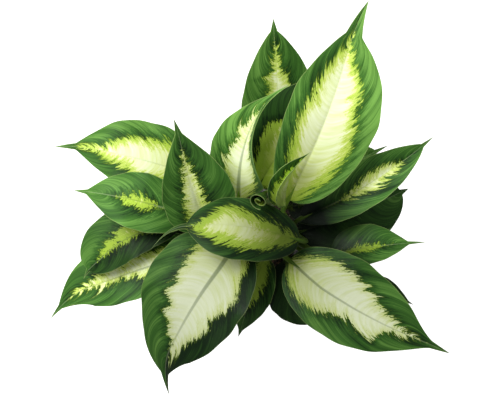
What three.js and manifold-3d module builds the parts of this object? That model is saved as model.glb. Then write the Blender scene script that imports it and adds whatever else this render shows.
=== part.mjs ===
// Potted dieffenbachia: a broad-leaved, cream-and-green house plant of three canes in a plain tapered pot.
// Millimetres, +Z up. The origin is the centre of the pot's flat base.
//
// The pot is filled with soil, and the canes stand in plain holes in it. Each leaf is one solid: a petiole
// that leaves its cane, and a thin arched blade with a midrib along its underside and a waved margin. One
// young leaf is still rolled into a spear.
import * as THREE from 'three';
import Module from 'manifold-3d';

const wasm = await Module();
wasm.setup();

// Driving dimensions
const GAP = 0.3; // between pieces that touch
const POT = {
  height: 108,
  baseRadius: 40,
  rimRadius: 57,
  wall: 3.5,
  floor: 4,
  band: 18,
  bandStep: 2.5,
  edge: 1.4,
  sides: 32,
};
const DRAIN = { count: 6, ringRadius: 25, radius: 4, sides: 8 };
const SOIL = { top: 96, dome: 4, lump: 1.4, rings: [0.9, 0.62, 0.32] };
const CANE = { sides: 9, nodeSpacing: 19, nodeSwell: 1.2, nodeHalf: 3.5, crown: 9 };
// Petiole: radii at its foot and neck, the foot's width over its depth, its lean in degrees from upright,
// and how far along the midrib and how far below it the petiole ends
const PETIOLE = {
  foot: 3.4,
  neck: 2.6,
  sheath: 1.7,
  lean: 32,
  rootedAt: 0.04,
  sunk: 1.3,
  sides: 6,
  stations: 6,
};
// Blade: sizes in millimetres, and places as shares of its length
const BLADE = {
  thickness: 1.0,
  ribDepth: 2.6,
  ribHalf: 0.07,
  ribEnd: 0.8,
  hookStart: 0.76,
  neck: 0.09,
  cupEnd: 0.5,
  lobe: 0.1,
  lobeEnd: 0.4,
  waveLag: 0.37,
};
const ROWS = [0.03, 0.1, 0.21, 0.34, 0.48, 0.62, 0.75, 0.86, 0.94];
const COLUMNS = [-1, -0.6, -BLADE.ribHalf, 0, BLADE.ribHalf, 0.6, 1];

// Canes: the foot stands in the soil, and the youngest leaves leave the crown
const CANES = {
  a: { foot: [-27, -8, 55], crown: [-38, -14, 212], radius: 8 },
  b: { foot: [2, 22, 55], crown: [11, 15, 226], radius: 8 },
  c: { foot: [25, -12, 55], crown: [32, -22, 226], radius: 9 },
};

// Leaves by cane. share: how far up the cane the petiole leaves; base, tip: the ends of the blade's midrib;
// widest, drip: where the blade is widest and how long its drip tip is, as shares of the length;
// taper: how sharply the blade narrows to the drip tip; neck: the drip tip's share of the full width;
// halves: the left and the right half's own share of half the width;
// arch, bow: how far the midrib's middle stands above and to the right of the line between its ends;
// fold: degrees that the left and right halves stand up at the midrib; curl: degrees more at the margin;
// cup: more fold at the base only, up to cupEnd; hook: how far the drip tip is bent away;
// lean: the petiole's own, in degrees; wave: height, number and phase of the margin's waves
const LEAVES = {
  a1: { share: 0.97, base: [-59, -28, 252], tip: [-90, 51, 391], width: 84, halves: [1, 0.98],
    widest: 0.33, drip: 0.12, taper: 1.1, fold: [14, 28], curl: [0, -10], wave: [1.5, 2, 0.1] },
  a2: { share: 0.9, base: [-25, -1, 262], tip: [16, 87, 385], width: 74, halves: [1, 0.9],
    widest: 0.32, drip: 0.1, taper: 1.3, arch: 8, bow: -12, fold: [5, 75], cup: [0, -115], cupEnd: 0.8,
    curl: [-10, 0], hook: [15, 6, -5], wave: [1.5, 2, 0.4] },
  a3: { share: 0.8, base: [-76, 40, 228], tip: [-240, 69, 240], width: 84,
    widest: 0.36, drip: 0.16, taper: 1.1, arch: 16, bow: 6, fold: [6, 6], curl: [-10, -10],
    wave: [2, 3, 0.2] },
  a4: { share: 0.7, base: [-80, -14, 240], tip: [-213, 14, 250], width: 67,
    widest: 0.42, drip: 0.12, taper: 1.1, arch: 14, bow: 1, fold: [8, 8], curl: [-14, -10],
    wave: [1.5, 3, 0.7] },
  a5: { share: 0.6, base: [-95, -19, 215], tip: [-206, -77, 192], width: 64,
    widest: 0.55, drip: 0.08, taper: 0.5, arch: 14, bow: 20, fold: [8, 8], curl: [-14, -10],
    wave: [1.5, 2, 0.3] },
  a6: { share: 0.48, base: [-71, -41, 186], tip: [-244, -96, 158], width: 76,
    widest: 0.55, drip: 0.06, taper: 1.0, arch: 12, bow: 4, fold: [8, 8], curl: [-10, -10],
    hook: [-6, -22, -6], wave: [1.5, 3, 0.5] },
  a7: { share: 0.36, base: [-86, -24, 176], tip: [-146, -32, 164], width: 46,
    widest: 0.4, drip: 0.1, taper: 1.1, arch: 6, fold: [6, 6], curl: [-10, -10],
    wave: [1, 2, 0.5] },
  b1: { share: 0.72, base: [17, 48, 224], tip: [13, 171, 372], width: 80, halves: [1, 1.2],
    widest: 0.38, drip: 0.08, taper: 0.9, fold: [22, 0], curl: [-10, -10],
    wave: [1.5, 2, 0.1] },
  b2: { share: 0.86, lean: 55, base: [-2, 18, 258], tip: [74, 120, 352], width: 84,
    widest: 0.5, drip: 0.1, taper: 0.9, fold: [10, 10], curl: [-10, -10], wave: [1.5, 2, 0.1] },
  b3: { share: 0.78, base: [52, 22, 230], tip: [146, 64, 262], width: 58,
    widest: 0.42, drip: 0.16, taper: 0.9, arch: 4, fold: [10, 10], curl: [-10, -10],
    wave: [1.5, 2, 0.1] },
  b4: { share: 0.7, base: [-25, -47, 250], tip: [-121, -198, 178], width: 124, halves: [0.98, 1.02],
    widest: 0.4, drip: 0.1, taper: 0.95, arch: 30, bow: 8, fold: [24, 0], curl: [-14, -14],
    hook: [16, -12, -8], wave: [1.5, 3, 0.3] },
  b5: { share: 0.56, base: [5, -52, 196], tip: [-26, -137, 136], width: 54,
    widest: 0.4, drip: 0.08, taper: 1.2, arch: 12, fold: [30, 6], curl: [-10, -10],
    wave: [1, 2, 0.3] },
  c1: { share: 1.0, base: [24, -16, 296], tip: [51, 26, 355], width: 44,
    widest: 0.36, drip: 0.08, taper: 1.2, bow: -8, fold: [44, 84], curl: [10, 20],
    wave: [0.5, 2, 0.3] },
  c2: { share: 0.86, base: [30, -6, 285], tip: [100, 169, 421], width: 100, halves: [0.9, 1.08],
    widest: 0.46, drip: 0.17, taper: 1.0, neck: 0.19, arch: 14, bow: 10, fold: [30, 4],
    curl: [-12, -12], hook: [10, 0, 0], wave: [2.5, 3, 0.3] },
  c3: { share: 0.92, base: [41, -51, 280], tip: [-120, -43, 298], width: 70,
    widest: 0.42, drip: 0.25, taper: 0.8, arch: 18, bow: 4, fold: [8, 4], cup: [0, 6],
    curl: [-12, -12], hook: [0, -18, -18], wave: [1.5, 2, 0.3] },
  c4: { share: 0.78, lean: 40, base: [49, -15, 241], tip: [191, 62, 300], width: 62, halves: [1.05, 0.82],
    widest: 0.4, drip: 0.1, taper: 0.9, arch: 10, bow: 8, fold: [50, 6], cup: [20, 0], curl: [-12, -12],
    wave: [1.5, 2, 0.3] },
  c5: { share: 0.72, base: [46, -20, 187], tip: [180, 38, 172], width: 78, halves: [1, 1.1],
    widest: 0.45, drip: 0.08, taper: 0.7, arch: 8, bow: 4, fold: [8, 0], curl: [-12, -12],
    wave: [1.5, 2, 0.3] },
  c6: { share: 0.64, base: [84, -50, 206], tip: [192, -38, 213], width: 56,
    widest: 0.32, drip: 0.2, taper: 1.1, arch: 10, fold: [8, 42], curl: [-12, -12],
    wave: [1.5, 2, 0.3] },
  c7: { share: 0.76, base: [33, -66, 241], tip: [219, -163, 184], width: 95, halves: [0.95, 1.05],
    widest: 0.36, drip: 0.12, taper: 1.3, arch: 26, bow: 10, fold: [20, 6], curl: [-14, -14],
    wave: [2, 3, 0.3] },
  c8: { share: 0.5, base: [112, -72, 150], tip: [186, -98, 136], width: 34,
    widest: 0.4, drip: 0.1, taper: 1.1, arch: 10, fold: [8, 8], curl: [-12, -12],
    wave: [1, 2, 0.3] },
  c9: { share: 0.58, base: [30, -53, 188], tip: [76, -126, 136], width: 88, halves: [1.1, 1],
    widest: 0.45, drip: 0.1, taper: 0.8, arch: 10, fold: [8, 8], curl: [-12, -12],
    wave: [1, 2, 0.3] },
  c10: { share: 0.66, base: [33, 6, 206], tip: [126, 14, 222], width: 54,
    widest: 0.36, drip: 0.1, taper: 0.9, arch: 4, fold: [10, 6], curl: [-10, -10],
    wave: [1, 2, 0.3] },
};

// Spear: the rolled young leaf of cane b, bent over from its foot past its bend point to its top. Its sheet
// starts at the first of the heights, on a stem
const SPEAR = {
  foot: [11, 15, 222],
  bend: [7, 2, 296],
  top: [-4, -26, 345],
  heights: [0.4, 0.52, 0.64, 0.76, 0.88, 1],
  columns: 15,
  turns: 1.7,
  inner: 2.8,
  pitch: 4.8,
  lip: 14,
  tilt: 20,
  stem: [[0, 3.5], [0.15, 3.8], [0.3, 4.1], [0.45, 4.4]], // height and radius
  stemSides: 8,
};

const UP = new THREE.Vector3(0, 0, 1);
const SLOPE_STEP = 0.005; // share of the length over which a direction is taken
const rad = THREE.MathUtils.degToRad;
const vec = (xyz) => new THREE.Vector3(...xyz);
const mix = (a, b, share) => a + (b - a) * share;

// Solid from points and the triangles between them
function solid(points, faces) {
  const mesh = new wasm.Mesh({
    numProp: 3,
    vertProperties: new Float32Array(points.flatMap((point) => point.toArray())),
    triVerts: new Uint32Array(faces.flat()),
  });
  return new wasm.Manifold(mesh);
}

// Closed solid through rings of points that run anticlockwise seen from the last ring; both ends are fans
function loft(rings) {
  const count = rings[0].length;
  const points = rings.flat();
  const faces = [];
  const id = (ring, k) => ring * count + (k % count);
  for (let ring = 0; ring + 1 < rings.length; ring += 1) {
    for (let k = 0; k < count; k += 1) {
      faces.push([id(ring, k), id(ring, k + 1), id(ring + 1, k + 1)]);
      faces.push([id(ring, k), id(ring + 1, k + 1), id(ring + 1, k)]);
    }
  }
  const last = rings.length - 1;
  const centre = (ring) => ring
    .reduce((sum, point) => sum.add(point), new THREE.Vector3())
    .divideScalar(count);
  const first = points.push(centre(rings[0])) - 1;
  const end = points.push(centre(rings[last])) - 1;
  for (let k = 0; k < count; k += 1) {
    faces.push([first, id(0, k + 1), id(0, k)]);
    faces.push([end, id(last, k), id(last, k + 1)]);
  }
  return solid(points, faces);
}

// Horizontal ring of points around an axis through x, y; height(angle) may vary round the ring
function levelRing(x, y, radius, height, sides) {
  return Array.from({ length: sides }, (_, k) => {
    const angle = (2 * Math.PI * k) / sides;
    const z = typeof height === 'number' ? height : height(angle);
    return new THREE.Vector3(x + radius * Math.cos(angle), y + radius * Math.sin(angle), z);
  });
}

// Rod through stations of { at, radius, wide }, wide times as wide along the starting side as it is deep
function rod(stations, sides, start = new THREE.Vector3(1, 0, 0)) {
  let side = start;
  const rings = stations.map(({ at, radius, wide = 1 }, i) => {
    const before = stations[Math.max(0, i - 1)].at;
    const after = stations[Math.min(stations.length - 1, i + 1)].at;
    const along = after.clone().sub(before).normalize();
    side = side.clone().addScaledVector(along, -side.dot(along)).normalize();
    const across = along.clone().cross(side);
    return Array.from({ length: sides }, (_, k) => {
      const angle = (2 * Math.PI * k) / sides;
      return at.clone()
        .addScaledVector(side, radius * wide * Math.cos(angle))
        .addScaledVector(across, radius * Math.sin(angle));
    });
  });
  return loft(rings);
}

// Closed solid of a thin sheet. Each row holds pairs of upper and lower points from left to right; a row of
// one pair is a pointed end.
function sheet(rows) {
  const points = [];
  const faces = [];
  const ids = rows.map((row) => row.map((pair) => pair.map((point) => points.push(point) - 1)));
  const quad = (a, b, c, d) => faces.push([a, b, c], [a, c, d]);
  for (let i = 0; i + 1 < ids.length; i += 1) {
    const near = ids[i];
    const far = ids[i + 1];
    for (let j = 0; j + 1 < Math.max(near.length, far.length); j += 1) {
      if (near.length === 1) {
        faces.push([near[0][0], far[j + 1][0], far[j][0]], [near[0][1], far[j][1], far[j + 1][1]]);
      } else if (far.length === 1) {
        faces.push([near[j][0], near[j + 1][0], far[0][0]], [near[j + 1][1], near[j][1], far[0][1]]);
      } else {
        quad(near[j][0], near[j + 1][0], far[j + 1][0], far[j][0]);
        quad(near[j][1], far[j][1], far[j + 1][1], near[j + 1][1]);
      }
    }
    quad(far[0][1], near[0][1], near[0][0], far[0][0]);
    quad(near.at(-1)[1], far.at(-1)[1], far.at(-1)[0], near.at(-1)[0]);
  }
  const first = ids[0];
  const last = ids.at(-1);
  for (let j = 0; j + 1 < first.length; j += 1) {
    quad(first[j][1], first[j + 1][1], first[j + 1][0], first[j][0]);
  }
  for (let j = 0; j + 1 < last.length; j += 1) {
    quad(last[j + 1][1], last[j][1], last[j][0], last[j + 1][0]);
  }
  return solid(points, faces);
}

// Share of the full width at a share t of the blade's length: a round base, a tapering body and a drip tip
function widthShare(t, { widest, drip, taper, neck = BLADE.neck }) {
  if (t < widest) {
    return Math.sqrt(1 - ((widest - t) / widest) ** 2.2);
  }
  const on = Math.min(1, (t - widest) / (1 - drip - widest));
  return (1 - on * on) ** taper + neck * on * on * Math.min(1, (1 - t) / drip);
}

// Shape of one blade: its midrib, and the point and normal of its middle surface at length t and width v,
// where v runs from -1 at the left margin to 1 at the right margin
function bladeShape(leaf) {
  const base = vec(leaf.base);
  const span = vec(leaf.tip).sub(base);
  const right = span.clone().cross(UP).normalize();
  const hook = vec(leaf.hook ?? [0, 0, 0]);
  const { arch = 0, bow = 0, cup = [0, 0], cupEnd = BLADE.cupEnd, halves = [1, 1] } = leaf;

  const midrib = (t) => {
    const bulge = 4 * t * (1 - t);
    const bend = Math.max(0, (t - BLADE.hookStart) / (1 - BLADE.hookStart)) ** 2;
    return base.clone()
      .addScaledVector(span, t)
      .addScaledVector(UP, arch * bulge)
      .addScaledVector(right, bow * bulge)
      .addScaledVector(hook, bend);
  };

  const frame = (t) => {
    const along = midrib(t + SLOPE_STEP).sub(midrib(t - SLOPE_STEP)).normalize();
    const side = right.clone().addScaledVector(along, -right.dot(along)).normalize();
    return { along, side, face: side.clone().cross(along) };
  };

  const surface = (t, v) => {
    const { along, side, face } = frame(t);
    const half = v < 0 ? 0 : 1;
    const share = Math.abs(v) * widthShare(t, leaf);
    const reach = (leaf.width / 2) * halves[half] * share;
    const fold = (k) => rad(leaf.fold[k] + cup[k] * Math.max(0, 1 - t / cupEnd) ** 2);
    const slope = fold(half) + rad(leaf.curl[half]) * share;
    const middle = (fold(half) + slope) / 2;
    const [height, count, phase] = leaf.wave;
    const ripple = height * v * v * Math.sin(Math.PI * t)
      * Math.sin(2 * Math.PI * (count * t + phase + BLADE.waveLag * half));
    const sign = v < 0 ? -1 : 1;
    const back = BLADE.lobe * reach * Math.max(0, 1 - t / BLADE.lobeEnd) ** 2;
    const point = midrib(t)
      .addScaledVector(side, sign * reach * Math.cos(middle))
      .addScaledVector(face, reach * Math.sin(middle) + ripple)
      .addScaledVector(along, -back);
    // at the midrib it halves the angle between the two sides
    const tilt = v === 0 ? (fold(1) - fold(0)) / 2 : sign * slope;
    const normal = face.clone()
      .multiplyScalar(Math.cos(tilt))
      .addScaledVector(side, -Math.sin(tilt));
    return { point, normal };
  };

  return { midrib, frame, surface };
}

function blade(leaf) {
  const { surface } = bladeShape(leaf);
  const pairAt = (t, v) => {
    const { point, normal } = surface(t, v);
    const rib = v === 0 ? BLADE.ribDepth * Math.max(0, 1 - t / BLADE.ribEnd) : 0;
    return [
      point.clone().addScaledVector(normal, BLADE.thickness / 2),
      point.clone().addScaledVector(normal, -BLADE.thickness / 2 - rib),
    ];
  };
  return sheet([
    [pairAt(0, 0)],
    ...ROWS.map((t) => COLUMNS.map((v) => pairAt(t, v))),
    [pairAt(1, 0)],
  ]);
}

function caneAt(cane, share) {
  return vec(cane.foot).lerp(vec(cane.crown), share);
}

// Petiole: leaves the cane steeply, swings over into the line of the midrib and ends inside the rib
function petiole(leaf, cane) {
  const { midrib, frame } = bladeShape(leaf);
  const start = caneAt(cane, leaf.share);
  const end = midrib(0);
  const reach = end.distanceTo(start);
  const out = end.clone().sub(start).setZ(0).normalize();
  const lean = rad(leaf.lean ?? PETIOLE.lean);
  const leave = UP.clone().multiplyScalar(Math.cos(lean)).addScaledVector(out, Math.sin(lean));
  const path = new THREE.CubicBezierCurve3(
    start,
    start.clone().addScaledVector(leave, 0.4 * reach),
    end.clone().addScaledVector(frame(0).along, -0.35 * reach),
    end,
  );
  const stations = Array.from({ length: PETIOLE.stations }, (_, i) => {
    const share = i / (PETIOLE.stations - 1);
    const wide = mix(PETIOLE.sheath, 1, Math.min(1, 1.4 * share));
    return { at: path.getPoint(share), radius: mix(PETIOLE.foot, PETIOLE.neck, share), wide };
  });
  const { face } = frame(PETIOLE.rootedAt);
  const rooted = midrib(PETIOLE.rootedAt).addScaledVector(face, -PETIOLE.sunk);
  stations.push({ at: rooted, radius: PETIOLE.neck * 0.6 });
  return rod(stations, PETIOLE.sides, out.clone().cross(UP));
}

// Cane: a rod with a swelling at each old leaf scar and a rounded crown; grow widens it for the holes it cuts
function cane(spec, grow = 0) {
  const length = vec(spec.foot).distanceTo(vec(spec.crown));
  const stations = [{ at: caneAt(spec, -grow / length), radius: spec.radius + grow }];
  for (let along = CANE.nodeSpacing; along < length - CANE.crown; along += CANE.nodeSpacing) {
    const thin = spec.radius * mix(1, 0.85, along / length);
    [[-CANE.nodeHalf, 0], [0, CANE.nodeSwell], [CANE.nodeHalf, 0]].forEach(([shift, swell]) => {
      stations.push({ at: caneAt(spec, (along + shift) / length), radius: thin + swell + grow });
    });
  }
  stations.push({ at: caneAt(spec, 1 - CANE.crown / 2 / length), radius: spec.radius * 0.75 + grow });
  stations.push({ at: caneAt(spec, 1 + grow / length), radius: spec.radius * 0.35 + grow });
  return rod(stations, CANE.sides);
}

// Spear: a sheet rolled round a leaning axis, opening upwards to a slanting lip
function spear() {
  const axis = new THREE.QuadraticBezierCurve3(vec(SPEAR.foot), vec(SPEAR.bend), vec(SPEAR.top));
  const rows = SPEAR.heights.map((height) => {
    const along = axis.getTangent(height);
    const side = new THREE.Vector3(1, 0, 0).addScaledVector(along, -along.x).normalize();
    const across = along.clone().cross(side);
    const swell = mix(0.4, 1, ((height - SPEAR.heights[0]) / (1 - SPEAR.heights[0])) ** 2);
    return Array.from({ length: SPEAR.columns }, (_, j) => {
      const share = j / (SPEAR.columns - 1);
      const angle = 2 * Math.PI * SPEAR.turns * share + rad(SPEAR.tilt);
      const radius = (SPEAR.inner + SPEAR.pitch * SPEAR.turns * share) * swell;
      const spoke = side.clone().multiplyScalar(Math.cos(angle)).addScaledVector(across, Math.sin(angle));
      const slant = SPEAR.lip * height ** 3 * (Math.cos(angle - 1.2) - 1) / 2;
      const point = axis.getPoint(height).addScaledVector(along, slant).addScaledVector(spoke, radius);
      return [
        point.clone().addScaledVector(spoke, BLADE.thickness / 2),
        point.clone().addScaledVector(spoke, -BLADE.thickness / 2),
      ];
    });
  });
  const stem = SPEAR.stem.map(([height, radius]) => ({ at: axis.getPoint(height), radius }));
  return sheet(rows).add(rod(stem, SPEAR.stemSides));
}

function pot() {
  const { height, baseRadius, rimRadius, wall, band, bandStep, edge, floor, sides } = POT;
  const outer = (z) => mix(baseRadius, rimRadius - bandStep, z / height);
  const profile = [
    [baseRadius - edge, 0],
    [baseRadius, edge],
    [outer(height - band), height - band],
    [outer(height - band) + bandStep, height - band + edge],
    [rimRadius, height - edge],
    [rimRadius - edge, height],
    [outer(height) - wall + edge, height],
    [outer(height) - wall, height - edge],
    [outer(floor) - wall, floor],
  ];
  const body = loft(profile.map(([radius, z]) => levelRing(0, 0, radius, z, sides)));
  const angles = Array.from({ length: DRAIN.count }, (_, k) => (2 * Math.PI * (k + 0.5)) / DRAIN.count);
  return angles.reduce((cut, angle) => {
    const x = DRAIN.ringRadius * Math.cos(angle);
    const y = DRAIN.ringRadius * Math.sin(angle);
    const hole = loft([-1, floor + 1].map((z) => levelRing(x, y, DRAIN.radius, z, DRAIN.sides)));
    return cut.subtract(hole);
  }, body);
}

// Soil: fills the pot; its top is domed and lumpy
function soil() {
  const { height, baseRadius, rimRadius, wall, bandStep, floor, sides } = POT;
  const inside = (z) => mix(baseRadius, rimRadius - bandStep, z / height) - wall - GAP;
  const topRadius = inside(SOIL.top);
  const bottom = floor + GAP;
  const crest = (share) => (angle) => {
    const lumps = Math.sin(3 * angle + 9 * share) + Math.sin(7 * angle - 13 * share);
    return SOIL.top + SOIL.dome * (1 - share * share) + (SOIL.lump * lumps) / 2;
  };
  return loft([
    levelRing(0, 0, inside(bottom), bottom, sides),
    levelRing(0, 0, topRadius, SOIL.top, sides),
    ...SOIL.rings.map((share) => levelRing(0, 0, topRadius * share, crest(share), sides)),
  ]);
}

const MATERIALS = {
  pot: { color: 0x35363a, roughness: 0.8 },
  soil: { color: 0x2e2218, roughness: 1.0 },
  cane: { color: 0x6f8a3f, roughness: 0.6 },
  leaf: { color: 0x4c8a32, roughness: 0.4 },
  spear: { color: 0x8dbb4a, roughness: 0.4 },
};

const group = new THREE.Group();
group.name = 'potted_dieffenbachia';

function addPart(name, manifold, look) {
  const { vertProperties, triVerts, numProp } = manifold.getMesh();
  const geometry = new THREE.BufferGeometry();
  const positions = new Float32Array((vertProperties.length / numProp) * 3);
  for (let i = 0; i < positions.length / 3; i += 1) {
    positions.set(vertProperties.slice(i * numProp, i * numProp + 3), i * 3);
  }
  geometry.setAttribute('position', new THREE.BufferAttribute(positions, 3));
  geometry.setIndex(new THREE.BufferAttribute(new Uint32Array(triVerts), 1));
  geometry.computeVertexNormals();
  const mesh = new THREE.Mesh(geometry, new THREE.MeshStandardMaterial(look));
  mesh.name = name;
  group.add(mesh);
}

const holes = Object.fromEntries(Object.entries(CANES).map(([letter, spec]) => [letter, cane(spec, GAP)]));

addPart('pot', pot(), MATERIALS.pot);
addPart('soil', Object.values(holes).reduce((body, hole) => body.subtract(hole), soil()), MATERIALS.soil);
for (const [letter, spec] of Object.entries(CANES)) {
  addPart(`cane_${letter}`, cane(spec), MATERIALS.cane);
}
for (const [name, leaf] of Object.entries(LEAVES)) {
  const letter = name[0];
  const whole = blade(leaf).add(petiole(leaf, CANES[letter])).subtract(holes[letter]);
  addPart(`leaf_${name}`, whole, MATERIALS.leaf);
}
addPart('spear_b', spear().subtract(holes.b), MATERIALS.spear);

export default group;
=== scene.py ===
"""Looks of the potted dieffenbachia: finer leaves, canes, soil and pot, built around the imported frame."""
import math
import random

import bmesh
import bpy
import numpy as np
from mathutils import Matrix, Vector, noise


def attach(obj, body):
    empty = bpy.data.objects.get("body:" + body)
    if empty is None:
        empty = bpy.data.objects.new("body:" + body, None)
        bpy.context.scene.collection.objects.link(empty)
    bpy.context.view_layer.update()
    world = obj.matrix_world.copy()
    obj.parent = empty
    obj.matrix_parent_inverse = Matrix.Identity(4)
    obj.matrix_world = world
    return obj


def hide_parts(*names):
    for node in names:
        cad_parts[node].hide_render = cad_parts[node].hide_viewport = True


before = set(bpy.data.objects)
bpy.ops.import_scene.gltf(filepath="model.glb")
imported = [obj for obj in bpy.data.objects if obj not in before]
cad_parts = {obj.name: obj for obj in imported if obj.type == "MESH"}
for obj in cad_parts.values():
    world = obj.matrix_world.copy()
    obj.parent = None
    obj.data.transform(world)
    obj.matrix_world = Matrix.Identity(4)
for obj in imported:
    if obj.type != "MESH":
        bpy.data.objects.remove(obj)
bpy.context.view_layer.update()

MM = 0.001
UP = np.array([0.0, 0.0, 1.0])

# Driving dimensions, in millimetres as in the part's source
POT = dict(height=108, base=40, rim=57, wall=3.5, floor=4, band=18, step=2.5, round=1.6, sides=128)
DRAIN = dict(count=6, ring=25, radius=4, sides=32)
SOIL = dict(top=96, dome=4, gap=0.6, lumps=2.2, fine=0.5, sides=120, rings=44)
CRUMBS = dict(count=900, bark=(0.6, 2.4), grit=(0.7, 1.5), grit_from=0.9, sit=0.15, lump=0.35, fine=1.7)
CANES = {
    "a": dict(foot=(-27, -8, 55), crown=(-38, -14, 212), radius=8),
    "b": dict(foot=(2, 22, 55), crown=(11, 15, 226), radius=8),
    "c": dict(foot=(25, -12, 55), crown=(32, -22, 226), radius=9),
}
CANE_NODES = dict(spacing=19, swell=1.2, half=3.5, crown=9)
CANE_LOOK = dict(row=0.9, sides=36, taper=0.85, top=0.35, scar=0.9)
PETIOLE = dict(foot=3.4, neck=2.6, sheath=1.7, narrowing=1.4, lean=32, leave=0.4, arrive=0.35, groove=0.3,
               rows=34, spacing=1.1)
BLADE = dict(thick=0.8, edge=0.4, rib=2.6, rib_end=0.8, hook_start=0.76, neck=0.09, cup_end=0.5,
             round=2.2, lobe=0.1, lobe_end=0.4, wave_lag=0.37, crease=0.07)
BLADE_GRID = dict(rows=150, columns=53, ease=0.6, crowd=1.25)

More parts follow.
